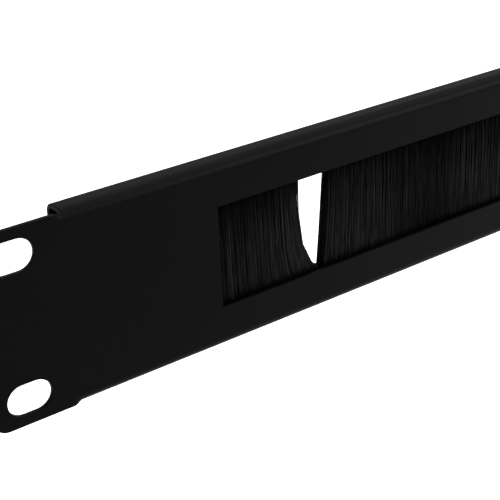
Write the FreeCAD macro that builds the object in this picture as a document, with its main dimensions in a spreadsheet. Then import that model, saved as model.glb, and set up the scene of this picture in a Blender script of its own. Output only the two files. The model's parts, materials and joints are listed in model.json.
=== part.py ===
"""Rack brush strip panel: a folded one-unit sheet steel panel for a 19-inch rack,
with a crimped strip brush standing in its bottom fold.

Millimetres, +Z up. The origin is the centre of the four rack slots, on the plane
in which the rear faces of the ears seat on the rack's rails. +X runs to the right
seen from the front, and +Y runs back into the rack.
"""
import FreeCAD, Part
import math
import os
import Sketcher
from FreeCAD import Placement, Rotation, Vector

doc = FreeCAD.newDocument("rack_brush_strip_panel")

# Driving dimensions: name, millimetres, what it is
SIZES = [
    ("panel_width", "482.6", "overall width over both ears"),
    ("ear_height", "43.8", "height of the ears"),
    ("fold_rise", "0.25", "each fold's outer side beyond the ears' edge"),
    ("sheet_thickness", "1.0", "steel sheet"),
    ("ear_corner_radius", "3.5", "rounded outer corners of the ears"),
    ("slot_end_distance", "8.75", "end of an ear to the centre line of its slots"),
    ("slot_row_spacing", "31.75", "between the upper and lower rack slots"),
    ("slot_height", "7.1", "slot, short way"),
    ("slot_length", "10.15", "slot, end to end"),
    ("ear_length", "20.8", "end of an ear to the end of the folds"),
    ("fold_depth", "7.15", "front face to the rear face of a fold's lip"),
    ("bend_inner_radius", "1.5", "inside radius of every bend"),
    ("lip_length", "8.0", "rear lip of each fold, measured outside"),
    ("ear_draw", "2.2", "length of an ear's edge that each bend draws back"),
    ("window_margin", "36.45", "end of the folds to the end of the cable window"),
    ("window_height", "24.5", "cable window in the face"),
    ("strip_setback", "2.5", "end of the folds to the end of the strip brush"),
    ("strip_clearance", "0.175", "between the brush channel and the fold, each side"),
    ("channel_wall", "0.8", "sheet of the crimped brush channel"),
    ("channel_corner_radius", "1.6", "outside radius of the channel's lower corners"),
    ("channel_height", "7.2", "brush channel, floor to mouth"),
    ("channel_base_height", "2.6", "parallel lower part, round the core wire"),
    ("channel_taper_height", "0.8", "shoulder between the base and the mouth"),
    ("mouth_width", "2.0", "inside width of the crimped mouth"),
    ("wire_diameter", "1.6", "core wire that the filaments are folded round"),
    ("wire_bed", "0.7", "packed filaments under the core wire"),
    ("packing_clearance", "0.03", "filament block to the channel and the wire"),
    ("fibre_length", "28.95", "filaments, from the channel's mouth to their tips"),
    ("tip_thickness", "3.0", "filament row at the tips, front to back"),
    ("ridge_pitch", "1.6", "tufts along the filament row"),
    ("ridge_depth", "0.22", "furrow between two tufts"),
    ("parting_distance", "30.35", "left end of the window to the foot of the parting"),
    ("parting_lean_left", "7.6", "how far the tips left of the parting lean away"),
    ("parting_lean_right", "2.6", "how far the tips right of the parting lean away"),
    ("parting_spread", "10.0", "distance over which the lean dies away"),
    ("stake_diameter", "2.8", "pressed stake that holds the brush channel down"),
    ("punch_diameter", "2.0", "mark left by the punch behind each stake"),
    ("stake_clearance", "0.1", "stake's tip to the channel's crimped part"),
    ("stake_inset", "18.0", "end of the strip to the first stake"),
    ("stake_count", "6", "stakes along the bottom fold"),
]

sheet = doc.addObject("Spreadsheet::Sheet", "Sizes")
for row, (name, number, note) in enumerate(SIZES, start=1):
    sheet.set("A%d" % row, name)
    sheet.set("B%d" % row, number)
    sheet.setAlias("B%d" % row, name)
    sheet.set("C%d" % row, note)
doc.recompute()


def size(name):
    """Number in a cell of the sheet."""
    return float(sheet.get(name))


# Places that several pieces share, as expressions on the sheet and as numbers
HALF_EAR = "(Sizes.ear_height / 2)"
FOLD_TOP = "(Sizes.ear_height / 2 + Sizes.fold_rise)"
HALF_WIDTH = "(Sizes.panel_width / 2)"
SLOT_COLUMN = "(Sizes.panel_width / 2 - Sizes.slot_end_distance)"
HALF_FOLD = "(Sizes.panel_width / 2 - Sizes.ear_length)"
HALF_WINDOW = "(%s - Sizes.window_margin)" % HALF_FOLD
HALF_STRIP = "(%s - Sizes.strip_setback)" % HALF_FOLD
LIP_BACK = "(Sizes.fold_depth - Sizes.sheet_thickness)"
LIP_FRONT = "(Sizes.fold_depth - 2 * Sizes.sheet_thickness)"
FLOOR = "(Sizes.sheet_thickness - %s)" % FOLD_TOP
CHANNEL_WIDTH = "(%s - 2 * Sizes.strip_clearance)" % LIP_FRONT
CRIMP_WIDTH = "(Sizes.mouth_width + 2 * Sizes.channel_wall)"
WIRE_HEIGHT = "(Sizes.channel_wall + Sizes.wire_bed + Sizes.wire_diameter / 2)"
SHOULDER_TOP = "(Sizes.channel_base_height + Sizes.channel_taper_height)"
half_width = size("panel_width") / 2
half_ear = size("ear_height") / 2
fold_top = half_ear + size("fold_rise")
half_fold = half_width - size("ear_length")
half_strip = half_fold - size("strip_setback")
half_window = half_fold - size("window_margin")
slot_column = half_width - size("slot_end_distance")
lip_back = size("fold_depth") - size("sheet_thickness")
lip_front = lip_back - size("sheet_thickness")
half_channel = lip_front / 2 - size("strip_clearance")
floor_level = size("sheet_thickness") - fold_top


def origin_feature(body, role):
    """Plane or axis of the body's own origin."""
    return [item for item in body.Origin.OriginFeatures if item.Role == role][0]


def new_body(label):
    """Empty body whose label becomes its file name."""
    body = doc.addObject("PartDesign::Body", label)
    body.Label = label
    return body


def new_sketch(body, name, plane):
    """Sketch on one of the body's own origin planes."""
    sketch = body.newObject("Sketcher::SketchObject", name)
    sketch.AttachmentSupport = (origin_feature(body, plane), [""])
    sketch.MapMode = "FlatFace"
    return sketch


def pin(sketch, geometry, point, across, up):
    """Bind one point of a sketch to two expressions."""
    for kind, expression in (("DistanceX", across), ("DistanceY", up)):
        number = sketch.addConstraint(Sketcher.Constraint(kind, -1, 1, geometry, point, 1.0))
        sketch.setExpression("Constraints[%d]" % number, expression)


def draw_polygon(sketch, corners):
    """Closed outline whose corners are pairs of expressions."""
    count = len(corners)
    turn = 2 * math.pi / count
    start = [Vector(math.cos(i * turn), math.sin(i * turn), 0) for i in range(count)]
    lines = [sketch.addGeometry(Part.LineSegment(start[i], start[(i + 1) % count]), False)
             for i in range(count)]
    for i in range(count):
        sketch.addConstraint(Sketcher.Constraint("Coincident", lines[i - 1], 2, lines[i], 1))
    for line, (across, up) in zip(lines, corners):
        pin(sketch, line, 1, across, up)


def draw_slot(sketch, column, level):
    """Slot with round ends; column and level are -1 or 1."""
    radius = size("slot_height") / 2
    reach = size("slot_length") / 2 - radius
    centre = Vector(column * slot_column, level * size("slot_row_spacing") / 2, 0)
    upward = Vector(0, 0, 1)
    left = Part.Circle(centre - Vector(reach, 0, 0), upward, radius)
    right = Part.Circle(centre + Vector(reach, 0, 0), upward, radius)
    rise = Vector(0, radius, 0)
    span = Vector(reach, 0, 0)
    half_turn = math.pi
    ids = [
        sketch.addGeometry(Part.ArcOfCircle(left, half_turn / 2, 3 * half_turn / 2), False),
        sketch.addGeometry(Part.LineSegment(centre - span - rise, centre + span - rise), False),
        sketch.addGeometry(Part.ArcOfCircle(right, -half_turn / 2, half_turn / 2), False),
        sketch.addGeometry(Part.LineSegment(centre + span + rise, centre - span + rise), False),
    ]
    for first, second in zip(ids, ids[1:] + ids[:1]):
        sketch.addConstraint(Sketcher.Constraint("Tangent", first, 2, second, 1))
    round_end = sketch.addConstraint(Sketcher.Constraint("Radius", ids[0], radius))
    sketch.setExpression("Constraints[%d]" % round_end, "Sizes.slot_height / 2")
    row_place = "%d * Sizes.slot_row_spacing / 2" % level
    offset = "(Sizes.slot_length - Sizes.slot_height) / 2"
    for arc, side in ((ids[0], -1), (ids[2], 1)):
        across = "%d * %s + %d * %s" % (column, SLOT_COLUMN, side, offset)
        place = Sketcher.Constraint("DistanceX", -1, 1, arc, 3, centre.x + side * reach)
        number = sketch.addConstraint(place)
        sketch.setExpression("Constraints[%d]" % number, across)
    place = Sketcher.Constraint("DistanceY", -1, 1, ids[0], 3, centre.y)
    number = sketch.addConstraint(place)
    sketch.setExpression("Constraints[%d]" % number, row_place)
    sketch.addConstraint(Sketcher.Constraint("Horizontal", ids[1]))


def draw_circle(sketch, radius, across, up):
    """Circle whose radius and centre are expressions."""
    ring = sketch.addGeometry(Part.Circle(Vector(0, 0, 0), Vector(0, 0, 1), 1.0), False)
    number = sketch.addConstraint(Sketcher.Constraint("Radius", ring, 1.0))
    sketch.setExpression("Constraints[%d]" % number, radius)
    pin(sketch, ring, 3, across, up)


def pad(body, sketch, name, length, symmetric=False):
    """Pad along the sketch's normal, or both ways from it."""
    feature = body.newObject("PartDesign::Pad", name)
    feature.Profile = sketch
    feature.setExpression("Length", length)
    if symmetric:
        feature.SideType = "Symmetric"
    doc.recompute()
    return feature


def pocket(body, sketch, name, depth):
    """Pocket along the sketch's normal; it has to remove material."""
    before = body.Shape.Volume
    feature = body.newObject("PartDesign::Pocket", name)
    feature.Profile = sketch
    feature.Reversed = True
    feature.setExpression("Length", depth)
    doc.recompute()
    if not body.Shape.Volume < before:
        raise RuntimeError(name + " removes nothing")
    return feature


def mirror(body, feature, name, plane):
    """Mirror a feature about one of the body's origin planes."""
    copy = body.newObject("PartDesign::Mirrored", name)
    copy.Originals = [feature]
    copy.MirrorPlane = (origin_feature(body, plane), [""])
    body.Tip = copy
    doc.recompute()
    return copy


def round_edges(body, base, name, radius, chosen):
    """Fillet the edges of base whose ends satisfy the test chosen."""
    picked = []
    for index, edge in enumerate(base.Shape.Edges, start=1):
        ends = [vertex.Point for vertex in edge.Vertexes]
        if len(ends) == 2 and chosen(ends[0], ends[1]):
            picked.append("Edge%d" % index)
    if not picked:
        raise RuntimeError(name + " finds no edge")
    feature = body.newObject("PartDesign::Fillet", name)
    feature.Base = (base, picked)
    feature.setExpression("Radius", radius)
    doc.recompute()
    return feature


def near(a, b):
    """Two lengths are the same."""
    return abs(a - b) < 1e-4


def runs_along_at(places):
    """Test for edges along X through one of the given (Y, Z) places."""
    def chosen(p, q):
        if not (near(p.y, q.y) and near(p.z, q.z)):
            return False
        return any(near(abs(p.y), abs(y)) and near(abs(p.z), z) for y, z in places)
    return chosen


def bent_strip(x, foot, height, curvature):
    """Outline at X = x of a strip of the sheet that bends back above the level foot.

    height is measured along the strip's front and curvature is that of its front.
    """
    thickness = size("sheet_thickness")

    def place(along, depth):
        if not curvature:
            return Vector(x, depth - thickness, foot + along)
        turn = along * curvature
        reach = 1 / curvature - depth
        return Vector(x, 1 / curvature - thickness - reach * math.cos(turn), foot + reach * math.sin(turn))

    def side(start, end, depth):
        if not curvature:
            return Part.makeLine(place(start, depth), place(end, depth))
        return Part.Arc(place(start, depth), place(height / 2, depth), place(end, depth)).toShape()

    front = side(0, height, 0)
    top = Part.makeLine(place(height, 0), place(height, thickness))
    rear = side(height, 0, thickness)
    bottom = Part.makeLine(place(0, thickness), place(0, 0))
    return Part.Wire([front, top, rear, bottom])


def drawn_corners():
    """The four corners where the bends draw the ears' edges back with them."""
    bend_radius = size("bend_inner_radius") + size("sheet_thickness")
    foot = fold_top - bend_radius
    sections = []
    steps = 6
    for i in range(steps + 1):
        way = i / steps
        smooth = way * way * (3 - 2 * way)
        x = -half_fold - size("ear_draw") * (1 - way)
        sections.append(bent_strip(x, foot, half_ear - foot, smooth / bend_radius))
    upper_left = Part.makeLoft(sections, True, True)
    upper = [upper_left, upper_left.mirror(Vector(0, 0, 0), Vector(1, 0, 0))]
    return upper + [corner.mirror(Vector(0, 0, 0), Vector(0, 0, 1)) for corner in upper]


def make_panel():
    """Face, ears and the top and bottom folds, cut and bent from one sheet."""
    body = new_body("folded_body")

    # Section through the face and both folds, with square corners
    section = new_sketch(body, "folded_section", "YZ_Plane")
    front = "-Sizes.sheet_thickness"
    inner_height = "(%s - Sizes.sheet_thickness)" % FOLD_TOP
    lip_end = "(%s - Sizes.lip_length)" % FOLD_TOP
    upper = [
        (front, FOLD_TOP),
        (LIP_BACK, FOLD_TOP),
        (LIP_BACK, lip_end),
        (LIP_FRONT, lip_end),
        (LIP_FRONT, inner_height),
        ("0", inner_height),
    ]
    lower = [(across, "-1 * " + up) for across, up in reversed(upper)]
    draw_polygon(section, upper + lower)
    folded = pad(body, section, "folded_sheet", "2 * " + HALF_FOLD, symmetric=True)

    # Bends: the outside radius is the inside one and the sheet
    thickness = size("sheet_thickness")
    outside = [(-thickness, fold_top), (lip_back, fold_top)]
    inside = [(0.0, fold_top - thickness), (lip_front, fold_top - thickness)]
    outer_bends = round_edges(body, folded, "outer_bends",
                              "Sizes.bend_inner_radius + Sizes.sheet_thickness",
                              runs_along_at(outside))
    round_edges(body, outer_bends, "inner_bends", "Sizes.bend_inner_radius", runs_along_at(inside))

    # Left ear, flat to the outer corner and up to where the bends draw its edges back
    ear_sketch = new_sketch(body, "ear_outline", "XZ_Plane")
    ear_end = "-" + HALF_WIDTH
    flat_end = "-%s - Sizes.ear_draw" % HALF_FOLD
    root = "-%s + Sizes.sheet_thickness" % HALF_FOLD
    bend_line = "(%s - Sizes.bend_inner_radius - Sizes.sheet_thickness)" % FOLD_TOP
    upper_ear = [(ear_end, HALF_EAR), (flat_end, HALF_EAR), (flat_end, bend_line), (root, bend_line)]
    lower_ear = [(across, "-1 * " + up) for across, up in reversed(upper_ear)]
    draw_polygon(ear_sketch, upper_ear + lower_ear)
    ear = pad(body, ear_sketch, "left_ear", "Sizes.sheet_thickness")
    ears = mirror(body, ear, "right_ear", "YZ_Plane")

    def outer_corner(p, q):
        upright = near(p.x, q.x) and near(p.z, q.z)
        return upright and near(abs(p.x), half_width) and near(abs(p.z), half_ear)

    round_edges(body, ears, "ear_corners", "Sizes.ear_corner_radius", outer_corner)

    # Rack slots and the cable window
    slot_sketch = new_sketch(body, "slot_outlines", "XZ_Plane")
    for column in (-1, 1):
        for level in (-1, 1):
            draw_slot(slot_sketch, column, level)
    pocket(body, slot_sketch, "rack_slots", "Sizes.sheet_thickness")
    window_sketch = new_sketch(body, "window_outline", "XZ_Plane")
    draw_polygon(window_sketch, [("%d * %s" % (x, HALF_WINDOW), "%d * Sizes.window_height / 2" % z)
                                 for x, z in ((-1, -1), (1, -1), (1, 1), (-1, 1))])
    pocket(body, window_sketch, "cable_window", "Sizes.sheet_thickness")

    # Stakes: the bottom fold's lip is pressed in over the shoulder of the brush channel
    first_stake = "Sizes.stake_inset - " + HALF_STRIP
    stake_level = "%s + %s + Sizes.stake_diameter / 2 + Sizes.stake_clearance" % (FLOOR, SHOULDER_TOP)
    reach = "((%s - %s) / 2 - Sizes.stake_clearance)" % (LIP_FRONT, CRIMP_WIDTH)
    bump_sketch = new_sketch(body, "stake_outline", "XZ_Plane")
    bump_sketch.setExpression("AttachmentOffset.Base.z", "-1 * " + LIP_FRONT)
    draw_circle(bump_sketch, "Sizes.stake_diameter / 2", first_stake, stake_level)
    stake = pad(body, bump_sketch, "stake", reach)
    mark_sketch = new_sketch(body, "punch_outline", "XZ_Plane")
    mark_sketch.setExpression("AttachmentOffset.Base.z", "-1 * " + LIP_BACK)
    draw_circle(mark_sketch, "Sizes.punch_diameter / 2", first_stake, stake_level)
    mark = pocket(body, mark_sketch, "punch_mark", reach)
    row = body.newObject("PartDesign::LinearPattern", "stake_row")
    row.Originals = [stake, mark]
    row.Direction = (origin_feature(body, "X_Axis"), [""])
    row.setExpression("Length", "2 * (%s - Sizes.stake_inset)" % HALF_STRIP)
    row.setExpression("Occurrences", "Sizes.stake_count")
    body.Tip = row

    corners = doc.addObject("Part::Feature", "drawn_corners")
    corners.Shape = Part.makeCompound(drawn_corners())
    panel = doc.addObject("Part::MultiFuse", "panel")
    panel.Label = "panel"
    panel.Shapes = [body, corners]
    doc.recompute()
    return panel


def make_brush_channel():
    """Steel channel folded round the core wire and crimped on the filaments."""
    body = new_body("brush_channel")
    section = new_sketch(body, "half_section", "YZ_Plane")
    base = "%s / 2" % CHANNEL_WIDTH
    crimp = "%s / 2" % CRIMP_WIDTH
    wall = "Sizes.channel_wall"
    inner_drop = "%s * tan(atan((%s - %s) / Sizes.channel_taper_height) / 2)" % (wall, base, crimp)
    draw_polygon(section, [
        ("0", "0"),
        (base, "0"),
        (base, "Sizes.channel_base_height"),
        (crimp, SHOULDER_TOP),
        (crimp, "Sizes.channel_height"),
        ("Sizes.mouth_width / 2", "Sizes.channel_height"),
        ("Sizes.mouth_width / 2", "%s - %s" % (SHOULDER_TOP, inner_drop)),
        ("%s - %s" % (base, wall), "Sizes.channel_base_height - " + inner_drop),
        ("%s - %s" % (base, wall), wall),
        ("0", wall),
    ])
    half = pad(body, section, "half_channel", "2 * " + HALF_STRIP, symmetric=True)
    whole = mirror(body, half, "whole_channel", "XZ_Plane")
    wall_width = size("channel_wall")
    outer = round_edges(body, whole, "outer_corners", "Sizes.channel_corner_radius",
                        runs_along_at([(half_channel, 0.0)]))
    round_edges(body, outer, "inner_corners", "Sizes.channel_corner_radius - Sizes.channel_wall",
                runs_along_at([(half_channel - wall_width, wall_width)]))
    body.setExpression("Placement.Base.y", "%s / 2" % LIP_FRONT)
    body.setExpression("Placement.Base.z", FLOOR)
    return body


def make_core_wire():
    """Wire in the bottom of the brush channel."""
    wire = doc.addObject("Part::Cylinder", "core_wire")
    wire.Label = "core_wire"
    wire.setExpression("Radius", "Sizes.wire_diameter / 2")
    wire.setExpression("Height", "2 * " + HALF_STRIP)
    wire.Placement = Placement(Vector(0, 0, 0), Rotation(Vector(0, 1, 0), 90))
    wire.setExpression("Placement.Base.x", "-" + HALF_STRIP)
    wire.setExpression("Placement.Base.y", "%s / 2" % LIP_FRONT)
    wire.setExpression("Placement.Base.z", "%s + %s" % (FLOOR, WIRE_HEIGHT))
    return wire


def root_section(left):
    """Filaments packed in the channel round the core wire, as a face at X = left."""
    clearance = size("packing_clearance")
    wall = size("channel_wall")
    base = half_channel - wall - clearance
    crimp = size("mouth_width") / 2 - clearance
    bottom = wall + clearance
    slope = math.atan((base - crimp) / size("channel_taper_height"))
    knee = size("channel_base_height") - (wall + clearance) * math.tan(slope / 2)
    shoulder = knee + size("channel_taper_height")
    mouth = size("channel_height")
    corner = size("channel_corner_radius") - wall - clearance
    rear_side = [
        (base - corner, bottom),
        (base, bottom + corner),
        (base, knee),
        (crimp, shoulder),
        (crimp, mouth),
    ]
    outline = rear_side + [(-y, z) for y, z in reversed(rear_side)]
    points = [Vector(left, y, z) for y, z in outline]
    lower_bow = corner * (1 - math.sqrt(0.5))
    rear_bow = Vector(left, base - lower_bow, bottom + lower_bow)
    front_bow = Vector(left, lower_bow - base, bottom + lower_bow)
    edges = [Part.Arc(points[0], rear_bow, points[1]).toShape()]
    edges += [Part.makeLine(points[i], points[i + 1]) for i in range(1, len(points) - 2)]
    edges += [Part.Arc(points[-2], front_bow, points[-1]).toShape()]
    edges += [Part.makeLine(points[-1], points[0])]
    face = Part.Face(Part.Wire(edges))
    hole_radius = size("wire_diameter") / 2 + clearance
    wire_height = wall + size("wire_bed") + size("wire_diameter") / 2
    hole = Part.Face(Part.Wire(Part.makeCircle(hole_radius, Vector(left, 0, wire_height), Vector(1, 0, 0))))
    return face.cut(hole)


def tuft_outline(places, half_thickness, level):
    """Closed outline of the filament row at one height, furrowed on both faces."""
    furrow = half_thickness - size("ridge_depth")
    front = [Vector(x, -(half_thickness if i % 2 else furrow), level) for i, x in enumerate(places)]
    rear = [Vector(p.x, -p.y, level) for p in reversed(front)]
    return Part.makePolygon(front + rear + front[:1])


def make_bristles(label, outer_end, side, lean):
    """Filament block from the parting to one end of the strip.

    side is -1 left of the parting and 1 right of it. The tips beside the parting
    lean away from it by lean, and less the further they stand from it.
    """
    foot = size("parting_distance") - half_window + side * size("packing_clearance") / 2
    length = abs(outer_end - foot)
    tufts = round(length / size("ridge_pitch"))
    steps = [foot + side * length * i / (2 * tufts) for i in range(2 * tufts + 1)]
    tips = [x + side * lean * math.exp(-abs(x - foot) / size("parting_spread")) for x in steps]
    mouth = size("channel_height")
    crimp = size("mouth_width") / 2 - size("packing_clearance")
    tip_level = mouth + size("fibre_length")
    free_row = Part.makeLoft([tuft_outline(steps, crimp, mouth),
                              tuft_outline(tips, size("tip_thickness") / 2, tip_level)], True, True)
    root = root_section(min(foot, outer_end)).extrude(Vector(length, 0, 0))
    block = doc.addObject("Part::Feature", label)
    block.Label = label
    block.Shape = root.fuse(free_row)
    block.Placement = Placement(Vector(0, lip_front / 2, floor_level), Rotation())
    return block


pieces = [
    make_panel(),
    make_brush_channel(),
    make_core_wire(),
    make_bristles("bristles_left", -half_strip, -1, size("parting_lean_left")),
    make_bristles("bristles_right", half_strip, 1, size("parting_lean_right")),
]
doc.recompute()

for item in doc.Objects:
    if "Invalid" in item.State or "Error" in item.State:
        raise RuntimeError("%s is not built: %s" % (item.Label, item.State))
for piece in pieces:
    if piece.Shape.isNull() or not piece.Shape.isValid():
        raise RuntimeError(piece.Label + " has no valid shape")

os.makedirs("parts", exist_ok=True)
for piece in pieces:
    piece.Shape.exportStep("parts/%s.step" % piece.Label)
    box = piece.Shape.BoundBox
    print("%-16s solids %d volume %.1f X %.2f..%.2f Y %.2f..%.2f Z %.2f..%.2f" % (
        piece.Label, len(piece.Shape.Solids), piece.Shape.Volume,
        box.XMin, box.XMax, box.YMin, box.YMax, box.ZMin, box.ZMax))
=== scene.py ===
"""Rack brush strip panel: its finished look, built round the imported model.

Metres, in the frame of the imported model: the origin is the centre of the four rack
slots, on the plane of the ears' rear faces. +X runs to the right seen from the front,
+Y back into the rack and +Z up.
"""
import json
import math

import bmesh
import bpy
import numpy as np
from bpy.props import FloatProperty, FloatVectorProperty, IntProperty, PointerProperty
from mathutils import Matrix, Vector
from mathutils.geometry import tessellate_polygon


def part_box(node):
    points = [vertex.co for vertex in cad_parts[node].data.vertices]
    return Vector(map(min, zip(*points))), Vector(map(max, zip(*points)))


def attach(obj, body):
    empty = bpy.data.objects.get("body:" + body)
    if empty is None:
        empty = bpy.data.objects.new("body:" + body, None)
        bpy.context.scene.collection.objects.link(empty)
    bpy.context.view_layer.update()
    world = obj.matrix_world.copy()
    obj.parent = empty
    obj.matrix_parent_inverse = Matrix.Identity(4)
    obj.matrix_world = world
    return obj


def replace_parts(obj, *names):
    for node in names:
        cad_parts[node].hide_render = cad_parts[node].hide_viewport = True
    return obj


bl_info = {
    "name": "Rack Brush Strip Panel",
    "version": (1, 0, 0),
    "blender": (4, 5, 0),
    "location": "3D View > Sidebar > Brush Panel",
    "description": "Dresses a folded one-unit rack panel and its strip brush",
    "category": "Add Mesh",
}

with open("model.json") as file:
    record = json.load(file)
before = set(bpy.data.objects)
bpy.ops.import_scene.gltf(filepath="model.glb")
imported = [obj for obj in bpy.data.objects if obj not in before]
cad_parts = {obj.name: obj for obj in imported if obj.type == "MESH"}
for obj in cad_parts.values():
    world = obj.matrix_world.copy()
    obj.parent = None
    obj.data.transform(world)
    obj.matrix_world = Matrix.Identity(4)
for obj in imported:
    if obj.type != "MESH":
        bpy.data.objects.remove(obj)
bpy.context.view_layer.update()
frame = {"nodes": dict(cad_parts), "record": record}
MM = 0.001
BODY = "root"
PANEL_LOW, PANEL_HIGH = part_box("panel")
CHANNEL_LOW, CHANNEL_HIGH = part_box("brush_channel")
WIRE_LOW, WIRE_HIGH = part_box("core_wire")
LEFT_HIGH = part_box("bristles_left")[1]
RIGHT_LOW, RIGHT_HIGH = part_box("bristles_right")
ROW_Y = (CHANNEL_LOW.y + CHANNEL_HIGH.y) / 2
RACK_SLOTS = frame["record"]["mounts"][0]["dims"]


def length(name, description, default):
    """A length that the user can change, in metres."""
    return FloatProperty(name=name, description=description, default=default, min=0.0,
                         precision=5, subtype="DISTANCE", unit="LENGTH")


def factor(name, description, default):
    """A share from 0 to 1 that the user can change."""
    return FloatProperty(name=name, description=description, default=default, min=0.0, max=1.0,
                         subtype="FACTOR")


def bow(name, description, default):
    """How low a filament leans, which the user can change."""
    return FloatProperty(name=name, description=description, default=default, min=1.0, max=8.0)


def angle(name, description, degrees):
    """An angle that the user can change."""
    return FloatProperty(name=name, description=description, default=math.radians(degrees),
                         subtype="ANGLE", unit="ROTATION")


def power(name, description, default):
    """A lamp's power that the user can change."""
    return FloatProperty(name=name, description=description, default=default, min=0.0,
                         subtype="POWER", unit="POWER")


def colour(name, description, default):
    """A linear colour that the user can change."""
    return FloatVectorProperty(name=name, description=description, default=default, size=3,
                               min=0.0, max=1.0, subtype="COLOR")


class SheetSizes(bpy.types.PropertyGroup):
    """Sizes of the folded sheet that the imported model's boxes don't give."""

    thickness: length("Sheet", "Thickness of the steel sheet", 1.0 * MM)
    ear_length: length("Ear", "End of an ear to the end of the folds", 20.8 * MM)
    ear_height: length("Ear height", "Height of the ears", 43.8 * MM)
    ear_corner: length("Ear corner", "Radius of the ears' outer corners", 3.5 * MM)
    ear_draw: length("Drawn edge", "Length of an ear's edge that each bend draws back", 2.5 * MM)
    bend_radius: length("Bend", "Outside radius of every bend", 2.5 * MM)
    lip: length("Lip", "Rear lip of each fold, measured outside", 8.0 * MM)
    window_margin: length("Window margin", "End of the folds to the window", 36.45 * MM)
    window_height: length("Window height", "Cable window in the face", 24.5 * MM)
    slot_end: length("Slot place", "End of an ear to the centre line of its slots", 8.75 * MM)
    mark_radius: length("Punch mark", "Radius of a punch mark on the bottom lip", 1.0 * MM)
    stake_radius: length("Stake", "Radius of the stake behind a punch mark", 1.4 * MM)
    stake_reach: length("Stake reach", "How far a stake is pressed in", 0.675 * MM)
    stake_inset: length("Stake inset", "End of the strip to its first stake", 18.0 * MM)
    stake_level: length("Stake level", "Fold's floor to the centre of a stake", 4.9 * MM)
    stake_count: IntProperty(name="Stakes", description="Stakes along the bottom fold",
                             default=6, min=2)
    front_edge: length("Front edge", "Radius that punching gives the cut edges in front",
                       0.16 * MM)
    rear_edge: length("Rear edge", "Radius that the coating gives the cut edges behind",
                      0.08 * MM)


class BrushSizes(bpy.types.PropertyGroup):
    """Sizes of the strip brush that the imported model's boxes don't give."""

    wall: length("Channel wall", "Sheet of the crimped channel", 0.8 * MM)
    base_height: length("Channel base", "Parallel lower part of the channel", 2.6 * MM)
    taper_height: length("Shoulder", "Shoulder between the base and the mouth", 0.8 * MM)
    channel_corner: length("Channel corner", "Outside radius of the lower corners", 1.6 * MM)
    mouth_width: length("Mouth", "Inside width of the crimped mouth", 2.0 * MM)
    tip_thickness: length("Tips", "Filament row at its tips, front to back", 3.0 * MM)
    flare: length("Flare", "Filament row just above the mouth, front to back", 3.5 * MM)
    flare_height: length("Flare height", "Height over which the row spreads", 1.0 * MM)
    filament: length("Filament", "Diameter of a filament at the front or back", 0.16 * MM)
    crowding: FloatProperty(name="Crowding",
                            description="Below 1, more filaments stand at the front and back",
                            default=0.6, min=0.1, max=1.0)
    core_filament: length("Core filament", "Diameter of a filament inside the row", 0.34 * MM)
    density: IntProperty(name="Filaments per centimetre", description="Filaments along the row",
                         default=460, min=10)
    lean_left: length("Left lean", "Lean of the tips left of the parting", 7.0 * MM)
    lean_right: length("Right lean", "Lean of the tips right of the parting", 2.65 * MM)
    spread: length("Spread", "Distance over which the lean dies away", 9.0 * MM)
    bow_left: bow("Left bow", "How low a left filament leans; 1 is straight", 4.3)
    bow_right: bow("Right bow", "How low a right filament leans; 1 is straight", 1.2)
    stray: length("Stray", "How far single tips stray along the row", 0.4 * MM)
    clump: length("Clump", "How far tufts of tips lean together", 0.06 * MM)
    clump_pitch: length("Clump pitch", "Distance between tufts", 1.3 * MM)
    uneven: length("Uneven tips", "How much shorter the shortest filament is", 0.7 * MM)
    seed: IntProperty(name="Seed", description="Start of the random draws", default=7, min=0)


class Finishes(bpy.types.PropertyGroup):
    """Colours and gloss of the surfaces."""

    coat: colour("Powder coat", "Colour of the folded sheet", (0.0023, 0.0023, 0.00235))
    coat_roughness: factor("Coat roughness", "Roughness of the powder coat", 0.43)
    coat_specular: factor("Coat gloss", "Specular level of the powder coat", 0.020)
    filament: colour("Filaments", "Colour of the filaments", (0.0150, 0.0150, 0.0153))
    filament_specular: factor("Filament gloss", "Specular level of a filament", 0.015)
    # Tip shade and root shade are painted shade on the filaments: the upper strip's shadow at the
    # tips and the shade above the lower strip at the roots.
    painted_tip_shade: factor("Tip shade", "How much of the filaments' tone is left at the tips", 0.36)
    painted_root_shade: factor("Root shade", "How much of the filaments' tone is left at the roots", 0.15)
    channel: colour("Channel", "Colour of the crimped channel", (0.020, 0.020, 0.021))
    wire: colour("Core wire", "Colour of the core wire", (0.42, 0.42, 0.41))
    floor: colour("Floor", "Colour of the floor", (0.80, 0.80, 0.80))


class Studio(bpy.types.PropertyGroup):
    """Camera, lamps and floor."""

    camera_place: FloatVectorProperty(name="Camera", description="Place of the camera", size=3,
                                      default=(-0.315314, -0.197784, 0.115168),
                                      subtype="TRANSLATION", unit="LENGTH")
    camera_yaw: angle("Yaw", "Camera's turn from +Y towards +X", 35.2733)
    camera_pitch: angle("Pitch", "Camera's tilt below the horizon", 25.6251)
    camera_roll: angle("Roll", "Camera's turn about its own axis", -2.7505)
    camera_lens: FloatProperty(name="Lens", description="Focal length in millimetres",
                               default=86.498, min=10.0)
    floor_drop: length("Floor drop", "From the panel's lower edge down to the floor", 150.0 * MM)
    world_light: FloatProperty(name="World", description="Strength of the even light all round",
                               default=0.14, min=0.0)
    top_lamp: power("Top lamp", "Power of the lamp above, to the right", 5.8)
    left_lamp: power("Left lamp", "Power of the lamp above, left of the top lamp", 1.5)
    rear_lamp: power("Rear lamp", "Power of the lamp above and behind", 3.2)
    front_lamp: power("Front lamp", "Power of the lamp in front, to the right", 10.2)


def chosen(name):
    """One of the property groups."""
    return getattr(bpy.context.scene, "brush_panel_" + name)


def new_object(name, data):
    """Links data to the scene as an object."""
    item = bpy.data.objects.new(name, data)
    bpy.context.scene.collection.objects.link(item)
    return item


def add_piece(name, mesh, material):
    """Adds a mesh as a piece of the panel that rides on its body."""
    piece = new_object(name, mesh)
    mesh.materials.append(material)
    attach(piece, BODY)
    return piece


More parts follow.
